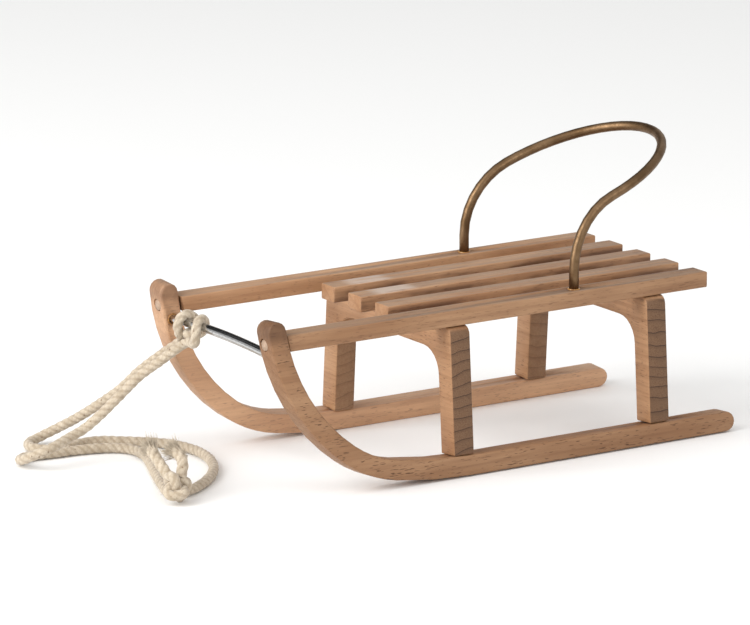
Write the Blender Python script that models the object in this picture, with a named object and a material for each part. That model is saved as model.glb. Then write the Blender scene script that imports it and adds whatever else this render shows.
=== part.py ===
"""Miniature slatted wooden sled with bent tips, a wire push hoop and a cotton tow rope.

Metres, +X towards the curved tips, +Y to the rider's left, +Z up.  The origin is on the
ground under the middle of the sled.  Run it with blender --background --python part.py.
"""
import math

import bmesh
import bpy
from mathutils import Matrix, Vector

MM = 0.001
GAP = 0.3 * MM                      # clearance between pieces that touch
OVERRUN = 3.0 * MM                  # how far a drill starts outside the piece

# Eased edges
RUNNER_EASE = 0.6 * MM
TRESTLE_EASE = 0.5 * MM
SLAT_EASE = 0.45 * MM
EASE_SEGMENTS = 2
SHARP_ANGLE = math.radians(32.0)    # edges sharper than this are shaded as edges
EASED_ANGLE = math.radians(40.0)    # edges sharper than this are eased
ROUND_END_STEPS = 8
CORNER_STEP = math.radians(15.0)

# Lean of the runners and legs, and the runners' section
LEAN = math.radians(4.0)
RUNNER_FOOT_Y = 35.6 * MM           # inner bottom edge of a runner
RUNNER_WIDTH = 8.4 * MM
RUNNER_DEPTH = 7.1 * MM
RUNNER_REAR_X = -97.4 * MM
RUNNER_BEND_X = 17.0 * MM           # where the running edge leaves the ground
RUNNER_ARCS = (                     # radius of the running edge, turn in degrees, steps
    (185.0 * MM, 9.4, 2),
    (49.8 * MM, 26.4, 5),
    (71.7 * MM, 47.0, 8),
)

# Seat
SEAT_TOP = 59.3 * MM
SLAT_THICKNESS = 5.7 * MM
SLAT_WIDTH = 8.6 * MM
SLAT_PITCH = 17.35 * MM
SEAT_REAR_X = -87.9 * MM
SLAT_FRONT_X = 37.1 * MM

# Trestles
TRESTLE_CENTRES = {"front": 19.1 * MM, "rear": -64.8 * MM}
TRESTLE_THICKNESS = 8.3 * MM
LEG_INNER = -0.6 * MM               # across the leaning runner, from its inner edge
LEG_OUTER = 7.9 * MM
ARCH_CROWN = 44.1 * MM
ARCH_RADIUS = 9.5 * MM
SHOULDER_RADIUS = 3.2 * MM

# Wire hoop and cross bar
HOOP_RADIUS = 1.75 * MM
HOOP_FOOT_X = -32.7 * MM
HOOP_SINK = 4.0 * MM                # how deep its feet stand in the rails
HOOP_BEND_Z = 65.6 * MM
HOOP_BEND_RADIUS = 26.7 * MM
HOOP_TILT = math.radians(20.2)      # of the loop above the horizontal
HOOP_LOOP_LENGTH = 40.7 * MM
HOOP_LOOP_HALF_WIDTH = 33.2 * MM
BAR_RADIUS = 1.6 * MM
BAR_X = 92.4 * MM
BAR_Z = 51.3 * MM
BAR_RISE = 1.4 * MM
BAR_SINK = 3.0 * MM                 # how deep its ends stand in the tips
BAR_HOLE_GAP = 0.45 * MM            # the bowed bar needs a wider hole

# Dowels
TIP_DOWEL_RADIUS = 2.0 * MM
TIP_DOWEL_Z = 56.4 * MM
TIP_DOWEL_Y = 35.2 * MM
TIP_DOWEL_REAR_X = 82.0 * MM
TIP_HOLE_REAR_X = 80.0 * MM         # the drill's ends, both outside the runner's tip
TIP_HOLE_FRONT_X = 105.0 * MM
DOWEL_SIDES = 16
ROD_SIDES = 12
LEG_DOWEL_RADIUS = 1.5 * MM
LEG_DOWEL_HALF = 4.0 * MM
SLAT_DOWEL_RADIUS = 1.25 * MM
SLAT_DOWEL_HALF = 3.0 * MM

# Tow rope: one doubled cord, hitched round the bar and knotted at its end
ROPE_RADIUS = 1.8 * MM
ROPE_RING_STEP = 7.92 * MM
HITCH_SPAN = (-28.6 * MM, -8.4 * MM)
HITCH_RADIUS = 5.3 * MM
HITCH_EASE = 1.2 * MM
HITCH_BORE_RADIUS = 2.35 * MM
KNOT_CENTRE = Vector((0.1212, 0.0175, 0.0053))
KNOT_SIZE = Vector((0.0060, 0.0060, 0.0052))
UPPER_STRAND = (                    # millimetres, from the hitch to the knot
    (92.6, -25.6, 44.8), (94.1, -28.8, 42.4), (96.4, -33.6, 38.6), (100.4, -40.8, 32.2),
    (104.5, -48.0, 24.3), (108.3, -55.4, 18.1), (111.2, -63.2, 12.6), (113.3, -69.6, 8.6),
    (116.6, -75.0, 5.0), (121.9, -76.8, 2.5), (126.5, -74.9, 1.9), (128.9, -70.5, 1.9),
    (128.5, -66.0, 1.9), (125.4, -62.6, 1.9), (120.9, -61.6, 1.9), (115.6, -62.8, 1.9),
    (109.6, -64.2, 1.9), (103.8, -63.1, 1.9), (98.2, -59.0, 1.9), (92.9, -54.4, 1.9),
    (88.0, -49.4, 1.9), (84.6, -43.6, 1.9), (82.8, -36.6, 1.9), (82.8, -28.6, 1.9),
    (85.0, -19.4, 1.9), (89.4, -10.0, 1.9), (95.0, -2.4, 1.9), (101.2, 3.9, 1.9),
    (107.2, 8.6, 1.9), (112.0, 11.5, 2.1), (116.1, 13.6, 2.4),
)
LOWER_STRAND = (
    (94.5, -21.2, 44.9), (96.3, -24.6, 42.1), (99.2, -29.7, 37.5), (103.9, -35.7, 31.6),
    (109.3, -40.0, 24.5), (115.4, -43.5, 17.4), (120.8, -45.7, 12.6), (126.6, -45.8, 10.3),
    (132.2, -44.1, 9.0), (136.6, -43.4, 7.9), (140.3, -45.2, 6.3), (142.5, -49.2, 4.1),
    (142.2, -53.8, 2.5), (139.6, -57.4, 1.9), (135.8, -58.8, 1.9), (131.8, -58.2, 1.9),
    (125.2, -57.3, 1.9), (119.2, -56.8, 1.9), (113.6, -55.7, 1.9), (108.0, -53.9, 1.9),
    (103.2, -50.6, 1.9), (100.6, -45.6, 1.9), (101.0, -38.2, 1.9), (104.2, -29.1, 1.9),
    (108.6, -19.1, 1.9), (113.2, -8.4, 1.9), (117.0, 1.2, 1.9), (119.6, 7.4, 2.1),
    (120.8, 11.0, 2.4),
)
LEFT_TAIL = (
    (121.5, 12.1, 8.7), (121.6, 9.4, 10.4), (121.6, 6.6, 12.1), (121.4, 3.8, 13.6),
    (121.2, 1.3, 14.7), (120.9, -1.1, 15.5),
)
RIGHT_TAIL = (
    (118.2, 15.9, 10.4), (116.9, 14.5, 12.8), (116.4, 12.2, 14.6), (116.7, 10.0, 15.6),
    (117.2, 7.9, 16.2),
)

BEECH = (0.47, 0.29, 0.17, 1.0)
BEECH_PALE = (0.60, 0.43, 0.30, 1.0)
BRASS = (0.38, 0.27, 0.15, 1.0)
STEEL = (0.62, 0.62, 0.63, 1.0)
COTTON = (0.74, 0.68, 0.58, 1.0)


# ---------------------------------------------------------------- helpers
def clear_scene():
    for thing in list(bpy.data.objects):
        bpy.data.objects.remove(thing, do_unlink=True)


def coat(obj, colour, roughness, metallic=0.0):
    """Give the object a Principled material of its own."""
    material = bpy.data.materials.new(obj.name)
    material.use_nodes = True
    shader = material.node_tree.nodes["Principled BSDF"]
    shader.inputs["Base Color"].default_value = colour
    shader.inputs["Roughness"].default_value = roughness
    shader.inputs["Metallic"].default_value = metallic
    obj.data.materials.clear()
    obj.data.materials.append(material)


def link(name, data):
    obj = bpy.data.objects.new(name, data)
    bpy.context.scene.collection.objects.link(obj)
    return obj


def mesh_object(name, bm):
    bmesh.ops.recalc_face_normals(bm, faces=bm.faces)
    mesh = bpy.data.meshes.new(name)
    bm.to_mesh(mesh)
    bm.free()
    mesh.shade_smooth()
    mesh.set_sharp_from_angle(angle=SHARP_ANGLE)
    return link(name, mesh)


def extrude_outline(name, outline, thickness, to_world):
    """Extrude a closed outline of (u, v) points; to_world maps (u, v, depth) to a point."""
    bm = bmesh.new()
    face = bm.faces.new([bm.verts.new(to_world(u, v, 0.0)) for u, v in outline])
    push = Vector(to_world(0.0, 0.0, thickness)) - Vector(to_world(0.0, 0.0, 0.0))
    grown = bmesh.ops.extrude_face_region(bm, geom=[face])
    moved = [item for item in grown["geom"] if isinstance(item, bmesh.types.BMVert)]
    bmesh.ops.translate(bm, verts=moved, vec=push)
    return mesh_object(name, bm)


def ease_edges(obj, width, segments=EASE_SEGMENTS):
    bevel = obj.modifiers.new("eased_edges", "BEVEL")
    bevel.width = width
    bevel.segments = segments
    bevel.limit_method = "ANGLE"
    bevel.angle_limit = EASED_ANGLE


def rod(name, radius, start, end, sides=ROD_SIDES):
    """A round rod between two points."""
    start, end = Vector(start), Vector(end)
    along = end - start
    bm = bmesh.new()
    turn = along.to_track_quat("Z", "Y").to_matrix().to_4x4()
    place = Matrix.Translation((start + end) / 2.0) @ turn
    bmesh.ops.create_cone(bm, cap_ends=True, segments=sides, radius1=radius, radius2=radius,
                          depth=along.length, matrix=place)
    return mesh_object(name, bm)


def drill(target, name, radius, start, end, sides=ROD_SIDES):
    """Bore a round hole in a piece, from start to end."""
    cutter = rod(f"cutter_{target.name}_{name}", radius, start, end, sides)
    cutter.hide_render = True
    cutter.display_type = "WIRE"
    cut = target.modifiers.new(name, "BOOLEAN")
    cut.operation = "DIFFERENCE"
    cut.object = cutter


def rounded_outline(corners, step_angle):
    """Closed outline through (u, v, radius) corners, each rounded by an arc of its radius."""
    outline = []
    for index, (u, v, radius) in enumerate(corners):
        here = Vector((u, v))
        if radius == 0.0:
            outline.append((u, v))
            continue
        before = (Vector(corners[index - 1][:2]) - here).normalized()
        after = (Vector(corners[(index + 1) % len(corners)][:2]) - here).normalized()
        half = before.angle(after) / 2.0
        centre = here + (before + after).normalized() * (radius / math.sin(half))
        first = here + before * (radius / math.tan(half)) - centre
        sweep = first.angle_signed(here + after * (radius / math.tan(half)) - centre)
        steps = max(1, round(abs(sweep) / step_angle))
        for k in range(steps + 1):
            turned = Matrix.Rotation(-sweep * k / steps, 2) @ first
            outline.append(tuple(centre + turned))
    return outline


def catmull_rom(points, count):
    """Evenly spaced points on the smooth curve through the given points."""
    points = [Vector(p) for p in points]
    padded = [points[0] * 2 - points[1], *points, points[-1] * 2 - points[-2]]
    dense = []
    for a, b, c, d in zip(padded, padded[1:], padded[2:], padded[3:]):
        for k in range(16):
            t = k / 16
            dense.append(0.5 * (2 * b + (c - a) * t + (2 * a - 5 * b + 4 * c - d) * t * t
                                + (3 * b - 3 * c + d - a) * t * t * t))
    dense.append(points[-1])
    reach = [0.0]
    for a, b in zip(dense, dense[1:]):
        reach.append(reach[-1] + (b - a).length)
    even, at = [], 0
    for k in range(count):
        want = reach[-1] * k / (count - 1)
        while at < len(dense) - 2 and reach[at + 1] < want:
            at += 1
        part = (want - reach[at]) / (reach[at + 1] - reach[at])
        even.append(dense[at].lerp(dense[at + 1], part))
    return even


def tube(name, points, radius, resolution):
    """A round tube along points, closed by flat caps."""
    curve = bpy.data.curves.new(name, "CURVE")
    curve.dimensions = "3D"
    curve.bevel_depth = radius
    curve.bevel_resolution = resolution
    curve.use_fill_caps = True
    spline = curve.splines.new("POLY")
    spline.points.add(len(points) - 1)
    for spot, point in zip(spline.points, points):
        spot.co = (*point, 1.0)
    return link(name, curve)


# ---------------------------------------------------------------- runners
def leaning(side, across, up):
    """World (y, z) of a place on a leaning runner or leg: across its width and up its height."""
    y = RUNNER_FOOT_Y + across * math.cos(LEAN) - up * math.sin(LEAN)
    return side * y, across * math.sin(LEAN) + up * math.cos(LEAN)


def runner_line(offset):
    """Side view (x, up) of the line at an offset above the running edge, from the bend's start
    to the tip, with the centre and heading of the last arc."""
    x, up, heading = RUNNER_BEND_X, 0.0, 0.0
    line = [(x, offset)]
    for radius, degrees, steps in RUNNER_ARCS:
        centre_x = x - radius * math.sin(heading)
        centre_up = up + radius * math.cos(heading)
        turn = math.radians(degrees)
        for k in range(1, steps + 1):
            angle = heading + turn * k / steps
            line.append((centre_x + (radius - offset) * math.sin(angle),
                         centre_up - (radius - offset) * math.cos(angle)))
        heading += turn
        x = centre_x + radius * math.sin(heading)
        up = centre_up - radius * math.cos(heading)
    return line, (centre_x, centre_up), heading


def round_end(centre, radius, start, steps):
    """Half circle of points that starts at an angle, without its two ends."""
    angles = [start + math.pi * k / steps for k in range(1, steps)]
    return [(centre[0] + radius * math.cos(a), centre[1] + radius * math.sin(a)) for a in angles]


def runner_outline():
    lower, _, heading = runner_line(0.0)
    upper, _, _ = runner_line(RUNNER_DEPTH)
    half = RUNNER_DEPTH / 2.0
    middle, _, _ = runner_line(half)
    tip = round_end(middle[-1], half, heading - math.pi / 2.0, ROUND_END_STEPS)
    rear_centre = (RUNNER_REAR_X + half, half)
    rear = round_end(rear_centre, half, math.pi / 2.0, ROUND_END_STEPS)
    return [(RUNNER_REAR_X + half, 0.0), *lower, *tip, *reversed(upper),
            (RUNNER_REAR_X + half, RUNNER_DEPTH), *rear]


def runner_face_x(offset, up):
    """Where the line at an offset above the running edge crosses a height on the last arc."""
    _, (centre_x, centre_up), _ = runner_line(offset)
    radius = RUNNER_ARCS[-1][0] - offset
    return centre_x + math.sqrt(radius ** 2 - (up - centre_up) ** 2)


def make_runner(name, side):
    def to_world(x, up, across):
        return (x, *leaning(side, across, up))

    runner = extrude_outline(name, runner_outline(), RUNNER_WIDTH, to_world)
    ease_edges(runner, RUNNER_EASE)
    coat(runner, BEECH, 0.6)
    inner_y = leaning(side, 0.0, BAR_Z)[0]
    bar_hole = (BAR_X, inner_y + side * (BAR_SINK + 2 * GAP), BAR_Z)
    drill(runner, "bar_hole", BAR_RADIUS + BAR_HOLE_GAP, (BAR_X, inner_y - side * OVERRUN, BAR_Z),
          bar_hole)
    dowel_y = side * TIP_DOWEL_Y
    drill(runner, "dowel_hole", TIP_DOWEL_RADIUS + GAP, (TIP_HOLE_REAR_X, dowel_y, TIP_DOWEL_Z),
          (TIP_HOLE_FRONT_X, dowel_y, TIP_DOWEL_Z), DOWEL_SIDES)
    for trestle, x in TRESTLE_CENTRES.items():
        bottom, top = leg_dowel_ends(side, x, GAP)
        drill(runner, f"{trestle}_leg_hole", LEG_DOWEL_RADIUS + GAP, bottom, top)


# ---------------------------------------------------------------- trestles
def leg_dowel_ends(side, x, extra):
    """Lower and upper end of a leg's dowel, each lengthened by an extra amount."""
    across = (LEG_INNER + LEG_OUTER) / 2.0
    low = RUNNER_DEPTH - LEG_DOWEL_HALF - extra
    high = RUNNER_DEPTH + LEG_DOWEL_HALF + extra
    return (x, *leaning(side, across, low)), (x, *leaning(side, across, high))


def leg_y(across, z):
    """Y of a leg's face at a height."""
    return RUNNER_FOOT_Y + (across - z * math.sin(LEAN)) / math.cos(LEAN)


def trestle_outline():
    top = SEAT_TOP - SLAT_THICKNESS - GAP
    foot = RUNNER_DEPTH + GAP
    half = [
        (*leaning(1, LEG_INNER, foot), 0.0),
        (leg_y(LEG_INNER, ARCH_CROWN), ARCH_CROWN, ARCH_RADIUS),
    ]
    outer = [
        (leg_y(LEG_OUTER, top), top, SHOULDER_RADIUS),
        (*leaning(1, LEG_OUTER, foot), 0.0),
    ]
    left = [*outer, *half]
    right = [(-y, z, radius) for y, z, radius in reversed(left)]
    return rounded_outline([*left, *right], CORNER_STEP)


def make_trestle(name, x):
    front = x + TRESTLE_THICKNESS / 2.0
    trestle = extrude_outline(name, trestle_outline(), TRESTLE_THICKNESS,
                              lambda y, z, depth: (front - depth, y, z))
    ease_edges(trestle, TRESTLE_EASE)
    coat(trestle, BEECH, 0.62)
    for side, label in ((1, "left"), (-1, "right")):
        bottom, top = leg_dowel_ends(side, x, GAP)
        drill(trestle, f"{label}_leg_hole", LEG_DOWEL_RADIUS + GAP, bottom, top)
    for place in range(-2, 3):
        bottom, top = slat_dowel_ends(x, place, GAP)
        drill(trestle, f"slat_hole_{place + 3}", SLAT_DOWEL_RADIUS + GAP, bottom, top)


# ---------------------------------------------------------------- seat
def slat_dowel_ends(x, place, extra):
    """Lower and upper end of a seat dowel, each lengthened by an extra amount."""
    joint = SEAT_TOP - SLAT_THICKNESS
    y = place * SLAT_PITCH
    reach = SLAT_DOWEL_HALF + extra
    return (x, y, joint - reach), (x, y, joint + reach)


def make_slat(name, place, front_top_x, front_bottom_x):
    """A seat slat; its front end may be cut at a slant."""
    low = SEAT_TOP - SLAT_THICKNESS
    corners = [(SEAT_REAR_X, low), (front_bottom_x, low), (front_top_x, SEAT_TOP),
               (SEAT_REAR_X, SEAT_TOP)]
    outer = place * SLAT_PITCH - SLAT_WIDTH / 2.0
    slat = extrude_outline(name, corners, SLAT_WIDTH, lambda x, z, depth: (x, outer + depth, z))
    ease_edges(slat, SLAT_EASE)
    coat(slat, BEECH, 0.6)
    for trestle, x in TRESTLE_CENTRES.items():
        bottom, top = slat_dowel_ends(x, place, GAP)
        drill(slat, f"{trestle}_hole", SLAT_DOWEL_RADIUS + GAP, bottom, top)
    return slat


def make_rail(name, side):
    """The long outer slat that runs forward to the curved tip."""
    low = SEAT_TOP - SLAT_THICKNESS
    ends = [runner_face_x(RUNNER_DEPTH, z) - 2 * GAP for z in (SEAT_TOP, low)]
    rail = make_slat(name, 2 * side, *ends)
    y = side * 2 * SLAT_PITCH
    drill(rail, "hoop_hole", HOOP_RADIUS + GAP, (HOOP_FOOT_X, y, SEAT_TOP - HOOP_SINK - GAP),
          (HOOP_FOOT_X, y, SEAT_TOP + OVERRUN), DOWEL_SIDES)
    dowel_y = side * TIP_DOWEL_Y
    drill(rail, "dowel_hole", TIP_DOWEL_RADIUS + GAP,
          (TIP_DOWEL_REAR_X - GAP, dowel_y, TIP_DOWEL_Z),
          (TIP_HOLE_FRONT_X, dowel_y, TIP_DOWEL_Z), DOWEL_SIDES)


# ---------------------------------------------------------------- dowels
def make_dowels():
    for side, label in ((1, "left"), (-1, "right")):
        y = side * TIP_DOWEL_Y
        front = runner_face_x(0.0, TIP_DOWEL_Z) - GAP
        dowel = rod(f"tip_dowel_{label}", TIP_DOWEL_RADIUS, (TIP_DOWEL_REAR_X, y, TIP_DOWEL_Z),
                    (front, y, TIP_DOWEL_Z), DOWEL_SIDES)
        coat(dowel, BEECH_PALE, 0.6)
        for trestle, x in TRESTLE_CENTRES.items():
            bottom, top = leg_dowel_ends(side, x, 0.0)
            dowel = rod(f"leg_dowel_{trestle}_{label}", LEG_DOWEL_RADIUS, bottom, top)
            coat(dowel, BEECH_PALE, 0.6)
    for trestle, x in TRESTLE_CENTRES.items():
        for place in range(-2, 3):
            bottom, top = slat_dowel_ends(x, place, 0.0)
            dowel = rod(f"slat_dowel_{trestle}_{place + 3}", SLAT_DOWEL_RADIUS, bottom, top)
            coat(dowel, BEECH_PALE, 0.6)


# ---------------------------------------------------------------- metal
def hoop_path():
    """Left foot, up the leg, back along the tilted loop and down to the right foot."""
    foot_y = 2 * SLAT_PITCH
    leg = [(HOOP_FOOT_X, SEAT_TOP - HOOP_SINK), (HOOP_FOOT_X, HOOP_BEND_Z)]
    turn = math.pi / 2.0 - HOOP_TILT
    bend_steps = 7
    for k in range(1, bend_steps + 1):
        angle = turn * k / bend_steps
        leg.append((HOOP_FOOT_X - HOOP_BEND_RADIUS * (1.0 - math.cos(angle)),
                    HOOP_BEND_Z + HOOP_BEND_RADIUS * math.sin(angle)))
    last = len(leg) - 1
    left = []
    for k, (x, z) in enumerate(leg):
        narrowing = (foot_y - HOOP_LOOP_HALF_WIDTH) * math.sin(0.5 * math.pi * max(k - 1, 0)
                                                              / (last - 1)) ** 2
        left.append((x, foot_y - narrowing, z))
    base_x, base_z = leg[-1]
    loop_steps = 26
    loop = []
    for k in range(1, loop_steps):
        angle = math.pi * k / loop_steps
        out = HOOP_LOOP_LENGTH * math.sin(angle)
        loop.append((base_x - out * math.cos(HOOP_TILT), HOOP_LOOP_HALF_WIDTH * math.cos(angle),
                     base_z + out * math.sin(HOOP_TILT)))
    right = [(x, -y, z) for x, y, z in reversed(left)]
    return [*left, *loop, *right]


def bar_path():
    """The tow bar, from the left tip to the right one, bowed a little upwards."""
    reach = abs(leaning(1, 0.0, BAR_Z)[0]) + BAR_SINK
    steps = 12
    path = []
    for k in range(steps + 1):
        share = 1.0 - 2.0 * k / steps
        path.append((BAR_X, reach * share, BAR_Z + BAR_RISE * (1.0 - share * share)))
    return path


def make_metal():
    hoop = tube("push_hoop", hoop_path(), HOOP_RADIUS, 4)
    coat(hoop, BRASS, 0.38, 1.0)
    bar = tube("tow_bar", bar_path(), BAR_RADIUS, 4)
    coat(bar, STEEL, 0.18, 1.0)


# ---------------------------------------------------------------- rope
def rope_tube(name, route):
    points = [Vector(p) * MM for p in route]
    length = sum((b - a).length for a, b in zip(points, points[1:]))
    count = max(4, round(length / ROPE_RING_STEP))
    strand = tube(name, catmull_rom(points, count), ROPE_RADIUS, 2)
    coat(strand, COTTON, 0.9)


def bar_height(y):
    reach = abs(leaning(1, 0.0, BAR_Z)[0]) + BAR_SINK
    return BAR_Z + BAR_RISE * (1.0 - (y / reach) ** 2)


def make_hitch():
    """The turns round the bar, as one ring with the bar's bore through it."""
    start, end = HITCH_SPAN
    height = bar_height((start + end) / 2.0)
    hitch = rod("rope_hitch", HITCH_RADIUS, (BAR_X, start, height), (BAR_X, end, height), DOWEL_SIDES)
    ease_edges(hitch, HITCH_EASE, 1)
    drill(hitch, "bar_bore", HITCH_BORE_RADIUS, (BAR_X, start - OVERRUN, height),
          (BAR_X, end + OVERRUN, height))
    coat(hitch, COTTON, 0.9)


def make_knot():
    bm = bmesh.new()
    place = Matrix.Translation(KNOT_CENTRE) @ Matrix.Diagonal((*KNOT_SIZE, 1.0))
    bmesh.ops.create_uvsphere(bm, u_segments=14, v_segments=9, radius=1.0, matrix=place)
    knot = mesh_object("rope_knot", bm)
    coat(knot, COTTON, 0.9)


def make_rope():
    make_hitch()
    make_knot()
    rope_tube("rope_upper_strand", UPPER_STRAND)
    rope_tube("rope_lower_strand", LOWER_STRAND)
    rope_tube("rope_tail_left", LEFT_TAIL)
    rope_tube("rope_tail_right", RIGHT_TAIL)


def main():
    clear_scene()
    make_runner("runner_left", 1)
    make_runner("runner_right", -1)
    for label, x in TRESTLE_CENTRES.items():
        make_trestle(f"trestle_{label}", x)
    make_rail("side_rail_left", 1)
    make_rail("side_rail_right", -1)
    for place, label in ((1, "left"), (0, "centre"), (-1, "right")):
        make_slat(f"slat_{label}", place, SLAT_FRONT_X, SLAT_FRONT_X)
    make_dowels()
    make_metal()
    make_rope()


main()
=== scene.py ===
"""Looks of the miniature beech sled: twisted cotton rope, beech, wire hoop and steel bar.

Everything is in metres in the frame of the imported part: +X towards the bent tips, +Y to
the rider's left, +Z up.
"""
import math
import random

import bmesh
import bpy
from mathutils import Matrix, Vector


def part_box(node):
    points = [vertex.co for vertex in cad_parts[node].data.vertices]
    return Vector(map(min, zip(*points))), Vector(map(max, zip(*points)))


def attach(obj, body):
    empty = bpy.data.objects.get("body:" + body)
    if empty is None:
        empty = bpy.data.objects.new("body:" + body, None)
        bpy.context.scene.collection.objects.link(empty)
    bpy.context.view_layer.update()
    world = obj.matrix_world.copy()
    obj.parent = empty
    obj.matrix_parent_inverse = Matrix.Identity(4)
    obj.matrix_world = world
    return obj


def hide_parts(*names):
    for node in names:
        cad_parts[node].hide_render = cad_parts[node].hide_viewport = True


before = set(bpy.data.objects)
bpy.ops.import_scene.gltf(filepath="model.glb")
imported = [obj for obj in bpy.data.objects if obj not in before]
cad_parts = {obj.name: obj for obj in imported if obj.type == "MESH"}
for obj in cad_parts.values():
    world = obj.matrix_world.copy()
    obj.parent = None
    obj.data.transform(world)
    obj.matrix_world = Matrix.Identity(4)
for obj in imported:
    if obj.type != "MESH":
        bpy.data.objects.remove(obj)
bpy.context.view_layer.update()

MM = 0.001
BODY = "root"
RANDOM = random.Random(541)

# Camera, by its direction from the target in degrees: azimuth 0 is -Y and 90 is +X
CAMERA_AZIMUTH = 146.9
CAMERA_ELEVATION = 13.62
CAMERA_DISTANCE = 2.2
CAMERA_TARGET = Vector((0.0105, -0.0275, 0.0438))
CAMERA_LENS = 295.0
CAMERA_CLIP_END = 20.0

# Studio: name, azimuth, elevation, distance, side and watts of each area light
LIGHTS = (
    ("key", 90.0, 30.0, 1.6, 1.3, 26.0),
    ("fill", 190.0, 35.0, 1.8, 1.2, 8.0),
    ("top", 120.0, 80.0, 1.8, 1.6, 4.0),
)
SKY_STRENGTH = 0.62
FLOOR_HALF = 6.0
CARD_PLACE = Vector((0.0, -1.1, 0.75))
CARD_SCALE = (1.6, 0.7, 1.0)

# Wood
BEECH_TONE = 0.74                   # lightness of all the wood
LOG_STEP = (37.0, 11.0, 23.0)       # millimetres between one board's place in the log and the next
RING_WANDER = 1.4                   # how far the growth rings stray, in rings
RUBBED_X = 21.0 * MM                # middle of the pale patches on the seat
WELD = 0.001 * MM
WOOD_SHARP = 32.0                   # degrees
METAL_SHARP = 60.0

# Metal and glue
BAR_RADIUS = 1.6 * MM
BAR_GLUE_Y = 31.9 * MM              # inner faces of the tips, where the bar enters them
BAR_GLUE = (1.78 * MM, 0.36 * MM)   # radius of a bead's ring and of its section
HOOP_RADIUS = 1.75 * MM
HOOP_FOOT_Y = 34.7 * MM
HOOP_GLUE = (1.95 * MM, 0.30 * MM)
GLUE_SIDES = (40, 10)               # round the rod, round the bead's section
GLUE_SWELL = 0.25                   # unevenness of a bead

# Rope
ROPE_RADIUS = 1.8 * MM
HITCH_ROPE_RADIUS = 1.75 * MM       # the cord is squeezed where it grips the bar
KNOT_ROPE_RADIUS = 1.04 * ROPE_RADIUS
TAIL_ROPE_RADIUS = 1.12 * ROPE_RADIUS
TAIL_ROOT = 0.35                    # how far into the knot a tail starts, as a share
TAIL_PHASE = 1.0                    # radians of twist at a tail's start
TAIL_TAPER = 5                      # rings
TAPER_DEPTH = 0.10
PLIES = 3
PLY_CENTRE = 0.52                   # a ply's middle and radius, as shares of the cord's radius
PLY_RADIUS = 0.48
PLY_PITCH = 9.4 * MM                # length of one full turn of a ply
GROOVE_FLOOR = 0.68                 # a ply's valley, as a share of the radius
SOFTNESS = 0.70                     # how much of that depth the soft cotton fills again
LUMP = 0.018                        # unevenness of the cord
LUMP_TURNS = 7.0
LUMP_RATE = 900.0                   # radians per metre
YARN_PITCH = 1.15 * MM
YARNS_ROUND = 4.0
CUT_RELIEF = 0.3
CORD_SHARP = 60.0                   # degrees
RING_STEP = 0.42 * MM
RING_SIDES = 27
SPAN_STEPS = 16                     # points worked out between two points of a route

# Knot: a trefoil's size, flattening, turns and clearance from the floor
KNOT_SCALE = 1.48                   # millimetres
KNOT_RISE = -1.45
KNOT_TILT = math.radians(-52.0)
KNOT_TURN = math.radians(33.0)
KNOT_STEPS = 150
FLOOR_CLEARANCE = 0.1 * MM

# Loose fibres
FUZZ_PER_MM = 2.5
FUZZ_RADIUS = 0.035 * MM
FRAY_HAIRS = 420
FRAY_RADIUS = 0.13 * MM
FRAY_CURL = 0.3                     # millimetres
HAIR_SIDES = 3
HAIR_THINNING = 0.6
HAIR_MARKS = {"relief": 1.0, "yarn": 0.25}

UPPER_STRAND = (                    # millimetres, from the hitch to the knot
    (92.6, -25.6, 44.8), (94.1, -28.8, 42.4), (96.4, -33.6, 38.6), (100.4, -40.8, 32.2),
    (104.5, -48.0, 24.3), (108.3, -55.4, 18.1), (111.2, -63.2, 12.6), (113.3, -69.6, 8.6),
    (116.6, -75.0, 5.0), (121.9, -76.8, 2.5), (126.5, -74.9, 1.9), (128.9, -70.5, 1.9),
    (128.5, -66.0, 1.9), (125.4, -62.6, 1.9), (120.9, -61.6, 1.9), (115.6, -62.8, 1.9),
    (109.6, -64.2, 1.9), (103.8, -63.1, 1.9), (98.2, -59.0, 1.9), (92.9, -54.4, 1.9),
    (88.0, -49.4, 1.9), (84.6, -43.6, 1.9), (82.8, -36.6, 1.9), (82.8, -28.6, 1.9),
    (85.0, -19.4, 1.9), (89.4, -10.0, 1.9), (95.0, -2.4, 1.9), (101.2, 3.9, 1.9),
    (107.2, 8.6, 1.9), (112.0, 11.5, 2.1), (116.1, 13.6, 2.4),
)
LOWER_STRAND = (
    (94.5, -21.2, 44.9), (96.3, -24.6, 42.1), (99.2, -29.7, 37.5), (103.9, -35.7, 31.6),
    (109.3, -40.0, 24.5), (115.4, -43.5, 17.4), (120.8, -45.7, 12.6), (126.6, -45.8, 10.3),
    (132.2, -44.1, 9.0), (136.6, -43.4, 7.9), (140.3, -45.2, 6.3), (142.5, -49.2, 4.1),
    (142.2, -53.8, 2.5), (139.6, -57.4, 1.9), (135.8, -58.8, 1.9), (131.8, -58.2, 1.9),
    (125.2, -57.3, 1.9), (119.2, -56.8, 1.9), (113.6, -55.7, 1.9), (108.0, -53.9, 1.9),
    (103.2, -50.6, 1.9), (100.6, -45.6, 1.9), (101.0, -38.2, 1.9), (104.2, -29.1, 1.9),
    (108.6, -19.1, 1.9), (113.2, -8.4, 1.9), (117.0, 1.2, 1.9), (119.6, 7.4, 2.1),
    (120.8, 11.0, 2.4),
)
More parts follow.
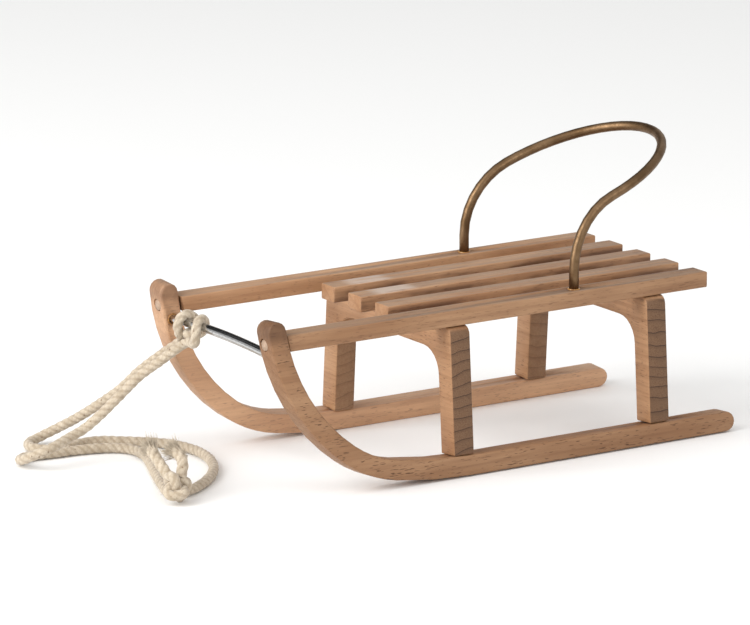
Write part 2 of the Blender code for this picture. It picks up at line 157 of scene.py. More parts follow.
HITCH = (                           # both strands: up the bar's front, over it, down its back
    (92.6, -25.6, 44.8), (93.6, -24.2, 46.6), (95.1, -23.4, 48.7), (95.8, -23.0, 51.2),
    (94.8, -22.7, 53.9), (92.3, -22.5, 55.0), (89.8, -22.1, 53.8), (88.9, -21.6, 51.4),
    (89.9, -21.3, 49.1), (91.5, -21.8, 48.7), (93.1, -21.3, 48.4), (93.1, -19.6, 48.2),
    (91.5, -17.7, 48.3), (89.7, -16.4, 49.8), (89.2, -15.5, 52.4), (90.7, -14.3, 54.7),
    (93.2, -12.7, 54.9), (95.2, -11.4, 53.0), (95.8, -11.0, 50.3), (95.4, -11.9, 47.8),
    (94.6, -14.8, 46.2), (94.1, -18.0, 46.2), (94.5, -21.2, 44.9),
)
LEFT_TAIL = (
    (121.5, 12.1, 8.7), (121.6, 9.4, 10.4), (121.6, 6.6, 12.1), (121.4, 3.8, 13.6),
    (121.2, 1.3, 14.7), (120.9, -1.1, 15.5),
)
RIGHT_TAIL = (
    (118.2, 15.9, 10.4), (116.9, 14.5, 12.8), (116.4, 12.2, 14.6), (116.7, 10.0, 15.6),
    (117.2, 7.9, 16.2),
)


# ---------------------------------------------------------------- shader helpers
class Nodes:
    """A material and short calls that add nodes to it."""

    def __init__(self, name):
        self.material = bpy.data.materials.new(name)
        self.material.use_nodes = True
        self.tree = self.material.node_tree
        self.shader = self.tree.nodes["Principled BSDF"]

    def put(self, socket, value):
        if isinstance(value, bpy.types.NodeSocket):
            self.tree.links.new(value, socket)
        else:
            socket.default_value = value

    def add(self, kind, inputs=(), **settings):
        """A new node with these values or links on its inputs and these settings."""
        node = self.tree.nodes.new(kind)
        for key, value in settings.items():
            setattr(node, key, value)
        for key, value in dict(inputs).items():
            self.put(node.inputs[key], value)
        return node

    def place(self):
        """Where the surface is, in metres in the sled's frame."""
        return self.add("ShaderNodeTexCoord").outputs["Object"]

    def along(self, vector, axis):
        """How far a vector reaches along an axis."""
        return self.vector("DOT_PRODUCT", vector, axis)

    def math(self, operation, a, b=0.0):
        node = self.add("ShaderNodeMath", operation=operation)
        self.put(node.inputs[0], a)
        self.put(node.inputs[1], b)
        return node.outputs[0]

    def vector(self, operation, a, b=(0.0, 0.0, 0.0)):
        node = self.add("ShaderNodeVectorMath", operation=operation)
        self.put(node.inputs[0], a)
        self.put(node.inputs[1], b)
        return node.outputs["Value" if operation == "DOT_PRODUCT" else "Vector"]

    def noise(self, vector, scale, detail=2.0, roughness=0.5):
        node = self.add("ShaderNodeTexNoise", {"Vector": vector, "Scale": scale,
                                               "Detail": detail, "Roughness": roughness})
        return node.outputs["Fac"]

    def ramp(self, value, low, high, to_low=0.0, to_high=1.0):
        """A smooth step from to_low at low to to_high at high."""
        node = self.add("ShaderNodeMapRange", {"Value": value, "From Min": low,
                                               "From Max": high, "To Min": to_low,
                                               "To Max": to_high},
                        interpolation_type="SMOOTHSTEP")
        return node.outputs["Result"]

    def mix(self, factor, a, b, blend="MIX"):
        """Colour a, with as much of colour b as the factor says."""
        node = self.add("ShaderNodeMix", data_type="RGBA", blend_type=blend)
        self.put(node.inputs[0], factor)
        self.put(node.inputs[6], a)
        self.put(node.inputs[7], b)
        return node.outputs[2]

    def bump(self, height, distance):
        node = self.add("ShaderNodeBump", {"Height": height, "Distance": distance})
        return node.outputs["Normal"]

    def principled(self, **values):
        for key, value in values.items():
            self.put(self.shader.inputs[key.replace("_", " ")], value)
        return self.material


def srgb(red, green, blue):
    """A colour given on the 0 to 255 scale, as linear RGBA."""
    linear = [(c / 255 / 12.92) if c <= 10 else ((c / 255 + 0.055) / 1.055) ** 2.4
              for c in (red, green, blue)]
    return (*linear, 1.0)


# ---------------------------------------------------------------- materials
X_AXIS, Y_AXIS, Z_AXIS = (1.0, 0.0, 0.0), (0.0, 1.0, 0.0), (0.0, 0.0, 1.0)
# The grey for upper faces is a painted sheen and shade, and the deep brown for low on the side
# faces a painted shade in the gaps between boards.
WOOD = {
    "light": srgb(209, 163, 122), "dark": srgb(175, 127, 88), "streak": srgb(150, 106, 76),
    "late": srgb(138, 92, 62), "fleck": srgb(92, 56, 34), "fibre": srgb(120, 80, 54),
    "end_light": srgb(134, 100, 72), "end_dark": srgb(100, 70, 48),
    "end_late": srgb(84, 56, 38), "end_line": srgb(46, 28, 18), "sheen_and_wear": srgb(150, 132, 116),
    "rubbed": srgb(232, 220, 210), "scuff": srgb(112, 74, 50), "pale": srgb(208, 186, 166),
    "gap_shade": srgb(76, 42, 25), "crown": srgb(84, 55, 37),
}
# The groove colour is a painted shade in the grooves of the cord.
YARN = {
    "dark": srgb(184, 170, 149), "light": srgb(203, 190, 170), "groove_shade": srgb(138, 117, 95),
    "mottle": srgb(152, 133, 109), "thread": srgb(158, 138, 114), "speck": srgb(108, 84, 62),
}


def beech(name, grain, rings, tone, place_in_log, spacing=4.0, end_grain=1.0, far_ends=1.0,
          flecks=0.5, sheen_and_wear=0.0, rubbed=0.0, pale=0.0, side_gap_shade=0.0, crown=0.0):
    """Sanded beech.  grain is the axis the fibres run along, rings the normal of the growth
    rings, spacing their distance in millimetres, and tone the board's own lightness.  The
    rest are strengths: of the dark end grain, of the share of it on the sled's right, of ray
    flecks, of a painted grey sheen and shade, scuffs and pale rubbed patches on upper faces,
    of a paler colour, of painted shade low on the left and right side faces, in the gaps
    between boards, and of the dark upper end."""
    n = Nodes(name)
    grain, rings = Vector(grain).normalized(), Vector(rings).normalized()
    place = n.place()
    mm = n.vector("MULTIPLY", place, (1000.0, 1000.0, 1000.0))
    height = n.along(mm, Z_AXIS)
    mm = n.vector("ADD", mm, [place_in_log * step for step in LOG_STEP])

    def cells(along, across, detail=1.0, roughness=0.5):
        """Noise with cells of these sizes in millimetres along and across the fibres."""
        scale = [1.0 / (along * abs(g) + across * (1.0 - abs(g))) for g in grain]
        return n.noise(n.vector("MULTIPLY", mm, scale), 1.0, detail, roughness)

    # Growth rings, and how far this face cuts across the fibres
    ring = n.math("DIVIDE", n.along(mm, rings), spacing)
    ring = n.math("ADD", ring, n.math("MULTIPLY", cells(60.0, 16.0, 2.0), RING_WANDER))
    ring = n.math("FRACT", ring)
    late, edge = n.ramp(ring, 0.55, 0.96), n.ramp(ring, 0.90, 0.985)
    normal = n.add("ShaderNodeNewGeometry").outputs["Normal"]
    facing = n.math("ABSOLUTE", n.along(normal, grain))
    end = n.ramp(facing, 0.55, 0.92, 0.0, end_grain)
    if far_ends < 1.0:
        leftward = n.along(place, Y_AXIS)
        end = n.math("MULTIPLY", end, n.ramp(leftward, -20.0 * MM, 20.0 * MM, far_ends, 1.0))

    # Broad colour, streaks, late wood, ray flecks and fine fibres
    blotch = n.ramp(cells(70.0, 14.0, 3.0, 0.55), 0.25, 0.75)
    colour = n.mix(blotch, WOOD["dark"], WOOD["light"])
    streak = cells(26.0, 1.1, 3.0, 0.6)
    colour = n.mix(n.ramp(streak, 0.35, 0.75, 0.0, 0.34), colour, WOOD["streak"])
    colour = n.mix(n.math("MULTIPLY", late, 0.16), colour, WOOD["late"])
    threshold = n.ramp(cells(24.0, 9.0), 0.3, 0.7, 0.685, 0.61)
    fleck = n.math("SUBTRACT", cells(3.0, 0.34, 1.0, 0.4), threshold)
    fleck = n.math("MULTIPLY", n.ramp(fleck, 0.0, 0.05), n.math("SUBTRACT", 1.0, end))
    colour = n.mix(n.math("MULTIPLY", fleck, flecks), colour, WOOD["fleck"])
    fibre = cells(11.0, 0.2, 2.0, 0.6)
    colour = n.mix(n.ramp(fibre, 0.5, 0.8, 0.0, 0.22), colour, WOOD["fibre"])

    # End grain
    pores = n.ramp(n.noise(mm, 3.4, 2.0, 0.7), 0.35, 0.75)
    end_colour = n.mix(pores, WOOD["end_light"], WOOD["end_dark"])
    end_colour = n.mix(n.math("MULTIPLY", late, 0.40), end_colour, WOOD["end_late"])
    end_colour = n.mix(n.math("MULTIPLY", edge, 0.80), end_colour, WOOD["end_line"])
    colour = n.mix(end, colour, end_colour)

    # Painted grey sheen and shade with scuffs on upper faces, painted shade low on the side faces,
    # and the board's own tone
    if sheen_and_wear:
        # Painted grey sheen and shade: upward faces are greyed in streaks, standing in for the
        # grey reflection and the weaker light on the tops.
        upward = n.ramp(n.along(normal, Z_AXIS), 0.75, 0.97)
        top_streaks = cells(34.0, 1.8, 3.0, 0.65)
        grey_sheen = n.math("MULTIPLY", upward, n.ramp(top_streaks, 0.32, 0.60, 0.25 * sheen_and_wear, sheen_and_wear))
        colour = n.mix(grey_sheen, colour, WOOD["sheen_and_wear"])
        if rubbed:
            away = n.along(n.vector("ADD", place, (-RUBBED_X, 0.0, 0.0)), X_AXIS)
            patch = n.ramp(n.math("ABSOLUTE", away), 11.0 * MM, 5.0 * MM, 0.0, rubbed)
            patch = n.math("MULTIPLY", n.math("MULTIPLY", patch, upward),
                           n.ramp(top_streaks, 0.30, 0.50))
            colour = n.mix(patch, colour, WOOD["rubbed"])
        scuff = n.ramp(cells(18.0, 0.9, 3.0, 0.65), 0.58, 0.70, 0.0, sheen_and_wear)
        colour = n.mix(n.math("MULTIPLY", upward, scuff), colour, WOOD["scuff"])
    if pale:
        colour = n.mix(pale, colour, WOOD["pale"])
    # Painted shade: side faces darken to deep brown in blotches, most towards their lower edge, as
    # the shadow in the gaps between the boards.
    if side_gap_shade:
        sideways = n.ramp(n.math("ABSOLUTE", n.along(normal, Y_AXIS)), 0.30, 0.90, 0.0, side_gap_shade)
        gap_shade = n.ramp(cells(26.0, 5.0, 3.0, 0.6), 0.35, 0.62, 0.30, 1.0)
        gap_shade = n.math("MULTIPLY", gap_shade, n.ramp(height, 58.7, 57.2, 0.22, 1.0))
        colour = n.mix(n.math("MULTIPLY", gap_shade, sideways), colour, WOOD["gap_shade"])
    if crown:
        lines = n.noise(n.vector("MULTIPLY", mm, (0.25, 1.6, 0.12)), 1.0, 2.0)
        dark_top = n.math("MULTIPLY", n.ramp(height, 55.0, 60.5, 0.0, crown),
                          n.ramp(lines, 0.3, 0.6, 0.7, 1.0))
        colour = n.mix(dark_top, colour, WOOD["crown"])
    tone *= BEECH_TONE
    colour = n.mix(1.0, colour, (tone, tone, tone, 1.0), "MULTIPLY")

    relief = n.math("SUBTRACT", n.math("MULTIPLY", fibre, 0.5), n.math("MULTIPLY", fleck, 0.8))
    relief = n.math("SUBTRACT", relief, n.math("MULTIPLY", n.math("MULTIPLY", edge, end), 1.2))
    return n.principled(Base_Color=colour, Normal=n.bump(relief, 0.05 * MM),
                        Specular_IOR_Level=0.35,
                        Roughness=n.ramp(streak, 0.2, 0.8, 0.48, 0.62))


def bronze_wire():
    """Dull brown wire, a little blotchy."""
    n = Nodes("bronze_wire")
    place = n.place()
    broad = n.noise(place, 90.0, 3.0, 0.6)
    fine = n.noise(place, 900.0, 2.0, 0.6)
    colour = n.mix(n.ramp(broad, 0.3, 0.7), srgb(105, 81, 56), srgb(136, 110, 83))
    colour = n.mix(n.ramp(fine, 0.5, 0.8, 0.0, 0.35), colour, srgb(96, 70, 44))
    return n.principled(Base_Color=colour, Metallic=1.0,
                        Roughness=n.ramp(fine, 0.2, 0.8, 0.36, 0.52),
                        Normal=n.bump(fine, 0.012 * MM))


def bright_steel():
    """Polished steel with fine lines along the bar and small pits."""
    n = Nodes("bright_steel")
    place = n.place()
    drawn = n.vector("MULTIPLY", place, (2600.0, 60.0, 2600.0))
    lines = n.noise(drawn, 1.0, 3.0, 0.6)
    pits = n.noise(place, 1300.0, 3.0, 0.7)
    colour = n.mix(n.ramp(pits, 0.5, 0.75), srgb(196, 196, 196), srgb(120, 118, 118))
    return n.principled(Base_Color=colour, Metallic=1.0,
                        Roughness=n.ramp(lines, 0.2, 0.8, 0.10, 0.26),
                        Normal=n.bump(pits, 0.010 * MM))


def cotton():
    """Unbleached cotton, with painted shade in the grooves between the plies.  The mesh gives how
    far out of a groove a point is (relief) and how many yarns round and along the cord it is
    (yarn)."""
    n = Nodes("cotton")
    relief = n.add("ShaderNodeAttribute", attribute_name="relief").outputs["Fac"]
    yarn = n.add("ShaderNodeAttribute", attribute_name="yarn").outputs["Fac"]
    place = n.place()
    colour = n.mix(n.ramp(n.noise(place, 260.0), 0.3, 0.7), YARN["dark"], YARN["light"])
    # Painted shade: darker in the grooves between the plies.
    colour = n.mix(n.ramp(relief, 0.60, 0.0, 0.0, 0.38), colour, YARN["groove_shade"])
    mottle = n.ramp(n.noise(place, 1500.0, 3.0, 0.7), 0.42, 0.66, 0.0, 0.32)
    colour = n.mix(mottle, colour, YARN["mottle"])
    threads = n.math("SINE", n.math("MULTIPLY", yarn, 2.0 * math.pi))
    threads = n.math("ADD", n.math("MULTIPLY", threads, 0.5), 0.5)
    colour = n.mix(n.math("MULTIPLY", n.ramp(threads, 0.45, 0.0), 0.20), colour,
                   YARN["thread"])
    specks = n.ramp(n.noise(place, 700.0, 1.0), 0.70, 0.76)
    colour = n.mix(n.math("MULTIPLY", specks, 0.75), colour, YARN["speck"])
    fuzz = n.noise(place, 2600.0, 3.0, 0.7)
    height = n.math("ADD", n.math("MULTIPLY", threads, 0.4), n.math("MULTIPLY", fuzz, 0.9))
    return n.principled(Base_Color=colour, Roughness=0.92, Sheen_Weight=0.25,
                        Sheen_Roughness=0.5, Specular_IOR_Level=0.2,
                        Normal=n.bump(height, 0.09 * MM))


def amber_glue():
    n = Nodes("amber_glue")
    place = n.place()
    cloud = n.noise(place, 500.0, 2.0)
    colour = n.mix(n.ramp(cloud, 0.3, 0.7), srgb(138, 88, 38), srgb(176, 128, 66))
    return n.principled(Base_Color=colour, Roughness=0.22, Coat_Weight=0.3)


def pale_floor():
    n = Nodes("pale_floor")
    return n.principled(Base_Color=srgb(248, 248, 247), Roughness=0.9, Specular_IOR_Level=0.1)


# ---------------------------------------------------------------- mesh helpers
def link(name, mesh):
    obj = bpy.data.objects.new(name, mesh)
    bpy.context.scene.collection.objects.link(obj)
    return obj


def square(name, half, material):
    """A flat square of the stage."""
    bm = bmesh.new()
    bmesh.ops.create_grid(bm, x_segments=1, y_segments=1, size=half)
    mesh = bpy.data.meshes.new(name)
    bm.to_mesh(mesh)
    bm.free()
    mesh.materials.append(material)
    obj = link(name, mesh)
    return obj


def outwards(azimuth, elevation):
    """The direction of an azimuth and elevation in degrees: 0 is -Y and 90 is +X."""
    a, e = math.radians(azimuth), math.radians(elevation)
    return Vector((math.sin(a) * math.cos(e), -math.cos(a) * math.cos(e), math.sin(e)))


def turn_to_face(obj, back):
    """Turn a camera or light, which looks along its own -Z, to look against back."""
    obj.rotation_mode = "QUATERNION"
    obj.rotation_quaternion = (-back).to_track_quat("-Z", "Y")


def middle_of(node):
    low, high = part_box(node)
    return (low + high) / 2.0


def belong(obj, slot, *nodes):
    """The piece rides on the sled and stands for these CAD nodes, which it hides; the slot is not
    used.
    """
    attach(obj, BODY)
    if nodes:
        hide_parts(*nodes)
    return obj


def smooth_route(points, step):
    """Evenly spaced points, as metres, on the smooth curve through a route in millimetres."""
    points = [Vector(p) * MM for p in points]
    padded = [points[0] * 2 - points[1], *points, points[-1] * 2 - points[-2]]
    dense = []
    for a, b, c, d in zip(padded, padded[1:], padded[2:], padded[3:]):
        for k in range(SPAN_STEPS):
            t = k / SPAN_STEPS
            dense.append(0.5 * (2 * b + (c - a) * t + (2 * a - 5 * b + 4 * c - d) * t * t
                                + (3 * b - 3 * c + d - a) * t * t * t))
    dense.append(points[-1])
    reach = [0.0]
    for a, b in zip(dense, dense[1:]):
        reach.append(reach[-1] + (b - a).length)
    count = max(3, round(reach[-1] / step) + 1)
    even, at = [], 0
    for k in range(count):
        want = reach[-1] * k / (count - 1)
        while at < len(dense) - 2 and reach[at + 1] < want:
            at += 1
        part = (want - reach[at]) / (reach[at + 1] - reach[at])
        even.append(dense[at].lerp(dense[at + 1], part))
    return even


def line_length(line):
    return sum((b - a).length for a, b in zip(line, line[1:]))


def travelling_frames(line):
    """Two crosswise unit vectors at each point of a line, carried along without twisting."""
    tangents = []
    for k in range(len(line)):
        ahead = line[min(k + 1, len(line) - 1)] - line[max(k - 1, 0)]
        tangents.append(ahead.normalized())
    side = tangents[0].orthogonal().normalized()
    frames = []
    for tangent in tangents:
        side = (side - tangent * side.dot(tangent)).normalized()
        frames.append((side, tangent.cross(side)))
    return frames


def ply_profile(angle):
    """Distance of a twisted cord's skin from its middle at an angle, as a share of its
    radius: the outline of three round plies, with the grooves partly filled."""
    sector = 2.0 * math.pi / PLIES
    off = (angle + sector / 2.0) % sector - sector / 2.0
    inside = PLY_RADIUS ** 2 - (PLY_CENTRE * math.sin(off)) ** 2
    sharp = max(GROOVE_FLOOR, PLY_CENTRE * math.cos(off) + math.sqrt(max(inside, 0.0)))
    return sharp + SOFTNESS * (1.0 - sharp)


def twisted_cord(name, line, radius=ROPE_RADIUS, phase=0.0, taper=0):
    """A three-ply twisted cord along a line; taper rings at its end draw in to a cut end."""
    frames = travelling_frames(line)
    verts, relief, yarn = [], [], []
    along = 0.0
    last = len(line) - 1
    lowest = GROOVE_FLOOR + SOFTNESS * (1.0 - GROOVE_FLOOR)
    for k, (point, (side, up)) in enumerate(zip(line, frames)):
        if k:
            along += (point - line[k - 1]).length
        twist = phase + 2.0 * math.pi * along / PLY_PITCH
        draw_in = 1.0 - TAPER_DEPTH * max(0, taper - (last - k)) / max(taper, 1)
        for j in range(RING_SIDES):
            angle = 2.0 * math.pi * j / RING_SIDES
            share = ply_profile(angle - twist)
            lump = 1.0 + LUMP * math.sin(LUMP_TURNS * angle + LUMP_RATE * along)
            reach = radius * share * lump * draw_in
            verts.append(point + (side * math.cos(angle) + up * math.sin(angle)) * reach)
            relief.append((share - lowest) / (1.0 - lowest))
            yarn.append(along / YARN_PITCH + YARNS_ROUND * (angle - twist) / (2.0 * math.pi))
    faces = []
    for k in range(last):
        for j in range(RING_SIDES):
            here, there = k * RING_SIDES, (k + 1) * RING_SIDES
            nxt = (j + 1) % RING_SIDES
            faces.append((here + j, here + nxt, there + nxt, there + j))
    for ring, flip in ((0, True), (last, False)):
        rim = [ring * RING_SIDES + j for j in range(RING_SIDES)]
        middle = len(verts)
        verts.append(line[ring])
        relief.append(CUT_RELIEF)
        yarn.append(0.0)
        for j in range(RING_SIDES):
            pair = (rim[j], rim[(j + 1) % RING_SIDES])
            faces.append((middle, *reversed(pair)) if flip else (middle, *pair))
    mesh = bpy.data.meshes.new(name)
    mesh.from_pydata([tuple(v) for v in verts], [], faces)
    mesh.attributes.new("relief", "FLOAT", "POINT").data.foreach_set("value", relief)
    mesh.attributes.new("yarn", "FLOAT", "POINT").data.foreach_set("value", yarn)
    mesh.shade_smooth()
    mesh.set_sharp_from_angle(angle=math.radians(CORD_SHARP))
    mesh.materials.append(COTTON)
    return link(name, mesh)


def thin_hairs(name, hairs, radius):
    """Many thin three-sided hairs in one mesh, each along its own few points."""
    verts, faces = [], []
    for line in hairs:
        base = len(verts)
        frames = travelling_frames(line)
        for k, (point, (side, up)) in enumerate(zip(line, frames)):
            thin = radius * (1.0 - HAIR_THINNING * k / (len(line) - 1))
            for j in range(HAIR_SIDES):
                angle = 2.0 * math.pi * j / HAIR_SIDES
                verts.append(point + (side * math.cos(angle) + up * math.sin(angle)) * thin)
        for k in range(len(line) - 1):
            start = base + HAIR_SIDES * k
            for j in range(HAIR_SIDES):
                a, b = start + j, start + (j + 1) % HAIR_SIDES
                faces.append((a, b, b + HAIR_SIDES, a + HAIR_SIDES))
        faces.append((base + 2, base + 1, base))
        tip = base + HAIR_SIDES * (len(line) - 1)
        faces.append((tip, tip + 1, tip + 2))
    mesh = bpy.data.meshes.new(name)
    mesh.from_pydata([tuple(v) for v in verts], [], faces)
    mesh.materials.append(COTTON)
    for attribute, value in HAIR_MARKS.items():
        data = mesh.attributes.new(attribute, "FLOAT", "POINT").data
        data.foreach_set("value", [value] * len(verts))
    mesh.shade_smooth()
    return link(name, mesh)


def cord_fuzz(name, line):
    """Loose fibres that stand off a cord."""
    frames = travelling_frames(line)
    hairs = []
    for _ in range(int(line_length(line) / MM * FUZZ_PER_MM)):
        k = RANDOM.randrange(2, len(line) - 2)
        side, up = frames[k]
        angle = RANDOM.uniform(0.0, 2.0 * math.pi)
        out = side * math.cos(angle) + up * math.sin(angle)
        along = (line[k + 1] - line[k - 1]).normalized() * RANDOM.uniform(-1.0, 1.0)
        root = line[k] + out * ROPE_RADIUS * 0.85
        reach = RANDOM.uniform(0.5, 1.1) * MM
        middle = root + (out * 0.6 + along * 0.5) * reach
        tip = middle + (out * RANDOM.uniform(-0.2, 0.5) + along) * reach * 0.7
        for point in (middle, tip):
            point.z = max(point.z, FLOOR_CLEARANCE)
        hairs.append([root, middle, tip])
    return thin_hairs(name, hairs, FUZZ_RADIUS)


def frayed_end(name, line):
    """The untwisted yarns of a cut end, spreading like a small brush."""
    way = (line[-1] - line[-4]).normalized()
    side, up = travelling_frames(line)[-1]
    hairs = []
    for _ in range(FRAY_HAIRS):
        angle, off = RANDOM.uniform(0.0, 2.0 * math.pi), math.sqrt(RANDOM.random())
        out = side * math.cos(angle) + up * math.sin(angle)
        back = RANDOM.uniform(0.8, 6.5) * MM
        root = line[-1] + out * off * ROPE_RADIUS * 0.9 - way * back
        reach = back + RANDOM.uniform(0.6, 3.0) * MM
        spread = off * RANDOM.uniform(0.15, 0.62)
        curl = side * RANDOM.uniform(-1.0, 1.0) + up * RANDOM.uniform(-1.0, 1.0)
        curl = curl * FRAY_CURL * MM
        hair = []
        for part in (0.0, 0.3, 0.6, 0.85, 1.0):
            bend = math.sin(part * math.pi * 1.5)
            hair.append(root + (way + out * spread * part) * reach * part + curl * bend)
        hairs.append(hair)
    return thin_hairs(name, hairs, FRAY_RADIUS)


# ---------------------------------------------------------------- camera, floor and light
def make_camera():
    camera = bpy.data.objects.new("camera", bpy.data.cameras.new("camera"))
    camera.data.lens = CAMERA_LENS
    camera.data.clip_end = CAMERA_CLIP_END
    back = outwards(CAMERA_AZIMUTH, CAMERA_ELEVATION)
    camera.location = CAMERA_TARGET + back * CAMERA_DISTANCE
    turn_to_face(camera, back)
    bpy.context.scene.collection.objects.link(camera)
    bpy.context.scene.camera = camera


def area_light(name, azimuth, elevation, distance, side, watts):
    light = bpy.data.lights.new(name, "AREA")
    light.shape = "RECTANGLE"
    light.size = light.size_y = side
    light.energy = watts
    obj = bpy.data.objects.new(name, light)
    back = outwards(azimuth, elevation)
    obj.location = back * distance
    turn_to_face(obj, back)
    bpy.context.scene.collection.objects.link(obj)


def dark_card():
    """A dark card behind the sled that only polished metal mirrors."""
    n = Nodes("dark_card")
    black = n.principled(Base_Color=(0.01, 0.01, 0.01, 1.0), Roughness=1.0)
    card = square("dark_card", 0.5, black)
    card.location = CARD_PLACE
    card.scale = CARD_SCALE
    card.rotation_mode = "QUATERNION"
    card.rotation_quaternion = (-CARD_PLACE).to_track_quat("Z", "Y")
    card.visible_camera = False
    card.visible_diffuse = False
    card.visible_shadow = False


def make_studio():
    square("floor", FLOOR_HALF, pale_floor())
    world = bpy.data.worlds.new("studio")
    world.use_nodes = True
    sky = world.node_tree.nodes["Background"].inputs
    sky["Color"].default_value = (1.0, 1.0, 1.0, 1.0)
    sky["Strength"].default_value = SKY_STRENGTH
    bpy.context.scene.world = world
    bpy.context.scene.view_settings.view_transform = "Standard"
    for light in LIGHTS:
        area_light(*light)
    dark_card()


# ---------------------------------------------------------------- rope
def knot_line():
    """A tight trefoil, which is a closed overhand knot, leaning towards the floor."""
    centre = middle_of("rope_knot")
    turn = Matrix.Rotation(KNOT_TURN, 3, "Z") @ Matrix.Rotation(KNOT_TILT, 3, "X")
    loops = []
    for k in range(KNOT_STEPS + 1):
        t = 2.0 * math.pi * k / KNOT_STEPS
        flat = Vector((math.sin(t) + 2.0 * math.sin(2.0 * t),
                       math.cos(t) - 2.0 * math.cos(2.0 * t), KNOT_RISE * math.sin(3.0 * t)))
        loops.append(centre + turn @ (flat * KNOT_SCALE * MM))
    lowest = min(p.z for p in loops) - ROPE_RADIUS
    return [p - Vector((0.0, 0.0, lowest - FLOOR_CLEARANCE)) for p in loops]


def make_rope():
    slot = "cotton_cord"
    hitch = twisted_cord("hitch", smooth_route(HITCH, RING_STEP), HITCH_ROPE_RADIUS)
    belong(hitch, slot, "rope_hitch")
    knot = belong(twisted_cord("knot", knot_line(), KNOT_ROPE_RADIUS), slot, "rope_knot")
    tails = []
    for label, route in (("left", LEFT_TAIL), ("right", RIGHT_TAIL)):
        root = Vector(route[0]).lerp(middle_of("rope_knot") / MM, TAIL_ROOT)
        line = smooth_route([root, *route], RING_STEP)
        tail = twisted_cord(f"tail_{label}", line, TAIL_ROPE_RADIUS, TAIL_PHASE, TAIL_TAPER)
        belong(tail, slot, f"rope_tail_{label}")
        fray = belong(frayed_end(f"fray_{label}", line), slot)
        tails += [tail, fray]
    for label, route, others in (("upper", UPPER_STRAND, [hitch, knot, *tails]),
                                 ("lower", LOWER_STRAND, [])):
        line = smooth_route(route, RING_STEP)
        strand = twisted_cord(f"{label}_strand", line)
        belong(strand, slot, f"rope_{label}_strand")
        fuzz = belong(cord_fuzz(f"{label}_fuzz", line), slot)


# ---------------------------------------------------------------- wood and metal
def refined(node, slot, material, sharp=WOOD_SHARP):
    """A piece of the same shape as a CAD node, welded and smoothly shaded."""
    bm = bmesh.new()
    bm.from_mesh(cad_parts[node].data)
    bmesh.ops.remove_doubles(bm, verts=bm.verts, dist=WELD)
    bmesh.ops.recalc_face_normals(bm, faces=bm.faces)
    mesh = bpy.data.meshes.new(f"fine_{node}")
    bm.to_mesh(mesh)
    bm.free()
    mesh.shade_smooth()
    mesh.set_sharp_from_angle(angle=math.radians(sharp))
    mesh.materials.append(material)
    return belong(link(f"fine_{node}", mesh), slot, node)


def make_wood():
    # The upper faces of the rails, the slats and the right runner get a painted grey sheen and
    # shade, and the slats a painted shade low on their side faces.
    rail = {"end_grain": 0.5, "flecks": 0.4, "sheen_and_wear": 0.55}
    outer_slat = {"end_grain": 0.2, "flecks": 0.45, "sheen_and_wear": 0.65, "side_gap_shade": 0.8}
    rubbed_slat = {**outer_slat, "rubbed": 0.35}
    runner = {"end_grain": 0.25, "flecks": 0.8, "crown": 0.6}
    pale_runner = {"end_grain": 0.25, "flecks": 0.5, "sheen_and_wear": 0.4, "pale": 0.16, "crown": 0.6}
    trestle = {"far_ends": 0.55}
    boards = (
        ("runner_left", X_AXIS, (0.0, 0.55, 0.83), 0.86, runner),
        ("runner_right", X_AXIS, (0.0, 0.35, 0.93), 1.50, pale_runner),
        ("side_rail_left", X_AXIS, (0.0, 0.30, 0.95), 0.89, rail),
        ("side_rail_right", X_AXIS, (0.0, 0.62, 0.78), 1.16, rail),
        ("slat_left", X_AXIS, (0.0, 0.80, 0.60), 1.14, outer_slat),
        ("slat_centre", X_AXIS, (0.0, 0.50, 0.86), 1.16, rubbed_slat),
        ("slat_right", X_AXIS, (0.0, 0.75, 0.66), 1.14, rubbed_slat),
        ("trestle_front", Y_AXIS, (0.16, 0.0, 0.98), 1.10, trestle),
        ("trestle_rear", Y_AXIS, (-0.12, 0.0, 0.99), 1.06, trestle),
    )
    for place, (node, grain, rings, tone, marks) in enumerate(boards, 1):
        refined(node, "beech", beech(f"beech_{node}", grain, rings, tone, place, **marks))


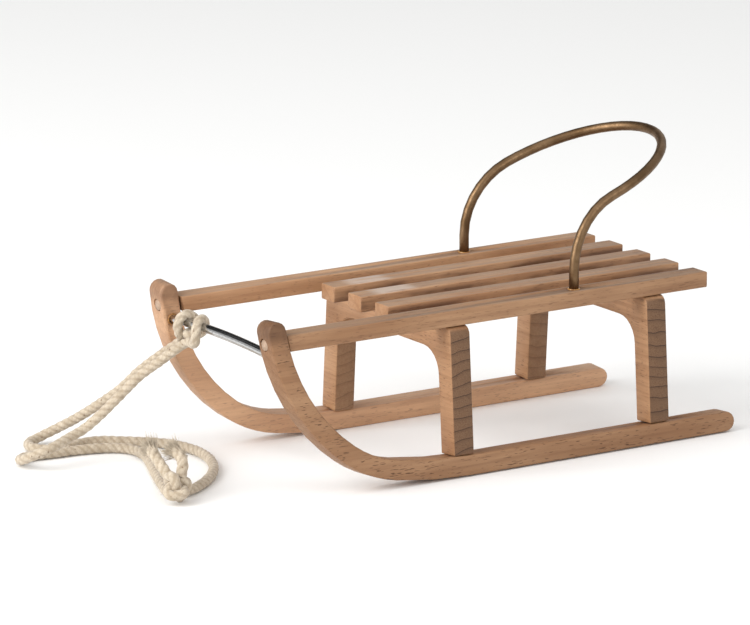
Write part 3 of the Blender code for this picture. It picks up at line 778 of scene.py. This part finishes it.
def glue_ring(name, centre, axis, ring, thickness):
    """A bead of glue round a rod where it enters the wood; its edge is a little uneven."""
    turn = Vector(axis).to_track_quat("Z", "Y")
    around, section = GLUE_SIDES
    verts, faces = [], []
    for k in range(around):
        angle = 2.0 * math.pi * k / around
        swell = thickness * (1.0 + GLUE_SWELL * math.sin(3.0 * angle + 1.0) * math.sin(angle))
        for j in range(section):
            tilt = 2.0 * math.pi * j / section
            reach = ring + swell * math.cos(tilt)
            spot = Vector((reach * math.cos(angle), reach * math.sin(angle),
                           swell * math.sin(tilt)))
            verts.append(tuple(turn @ spot + Vector(centre)))
    for k in range(around):
        for j in range(section):
            a, b = k * section + j, k * section + (j + 1) % section
            c, d = [(i + section) % (around * section) for i in (b, a)]
            faces.append((a, d, c, b))
    mesh = bpy.data.meshes.new(name)
    mesh.from_pydata(verts, [], faces)
    mesh.shade_smooth()
    mesh.materials.append(GLUE)
    return belong(link(name, mesh), "beech_dowel")


def make_glue():
    bar_x, bar_z = middle_of("tow_bar").x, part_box("tow_bar")[0].z + BAR_RADIUS
    hoop_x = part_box("push_hoop")[1].x - HOOP_RADIUS
    seat_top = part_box("side_rail_left")[1].z
    for side, label in ((1, "left"), (-1, "right")):
        glue_ring(f"bar_glue_{label}", (bar_x, side * BAR_GLUE_Y, bar_z), Y_AXIS, *BAR_GLUE)
        glue_ring(f"hoop_glue_{label}", (hoop_x, side * HOOP_FOOT_Y, seat_top), Z_AXIS,
                  *HOOP_GLUE)


def make_metal():
    refined("push_hoop", "hoop_wire", bronze_wire(), METAL_SHARP)
    refined("tow_bar", "bar_steel", bright_steel(), METAL_SHARP)


def make_dowels():
    pale = beech("beech_dowel", X_AXIS, (0.0, 0.4, 0.9), 1.05, 11.0, spacing=2.0,
                 end_grain=0.15, pale=0.6)
    for node in sorted(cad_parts):
        if "dowel" in node:
            refined(node, "beech_dowel", pale)


COTTON = cotton()
GLUE = amber_glue()
make_camera()
make_rope()
make_studio()
make_wood()
make_metal()
make_dowels()
make_glue()
